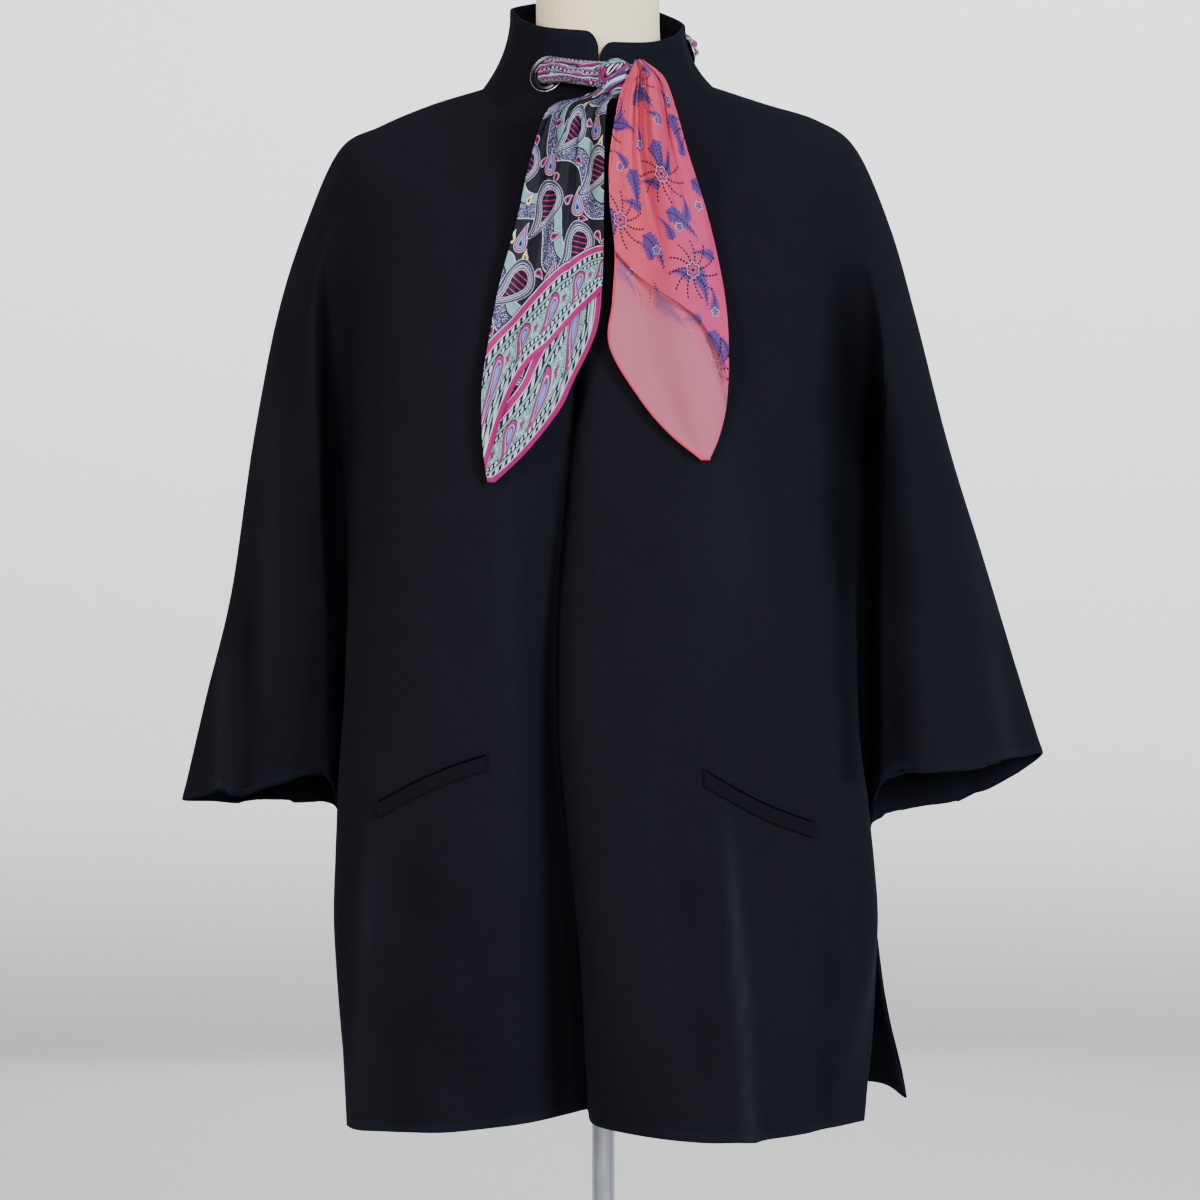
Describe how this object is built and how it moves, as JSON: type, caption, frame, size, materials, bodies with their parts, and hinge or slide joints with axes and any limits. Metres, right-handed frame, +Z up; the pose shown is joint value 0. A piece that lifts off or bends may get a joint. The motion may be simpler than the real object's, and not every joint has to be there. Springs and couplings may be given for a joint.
{
  "type": "wool cape coat on a dress form",
  "caption": "Hip-length wool cape coat with a stand collar, wide sleeves and slanted pockets, tied by a silk scarf through collar eyelets, on a limbless dress form with pole and base.",
  "frame": {"origin": "on the floor under the pole, at the middle of the underside of the round base", "axes": "+Z up, -Y out of the front of the coat, +X towards the left arm of whoever wears it"},
  "size_m": [0.744, 0.33, 1.5103],
  "materials": {
    "navy_wool": "matte",
    "paisley_silk": "satin",
    "coral_silk": "satin",
    "cream_jersey": "matte",
    "dark_chrome": "polished",
    "chrome": "polished"
  },
  "bodies": {
    "root": {"front_right": "navy_wool", "front_left": "navy_wool", "back": "navy_wool", "collar": "navy_wool", "pocket_welt_right": "navy_wool", "pocket_welt_left": "navy_wool", "eyelet_front_right": "dark_chrome", "eyelet_front_left": "dark_chrome", "eyelet_side_right": "dark_chrome", "eyelet_side_left": "dark_chrome", "scarf_front_right": "paisley_silk", "scarf_front_left": "paisley_silk", "scarf_inside_right": "paisley_silk", "scarf_inside_left": "paisley_silk", "scarf_back": "paisley_silk", "scarf_knot": "paisley_silk", "scarf_tail_right": "paisley_silk", "scarf_tail_left": "coral_silk", "form_body": "cream_jersey", "form_neck_cap": "chrome", "form_pole": "chrome", "form_base": "chrome"}
  },
  "joints": []
}
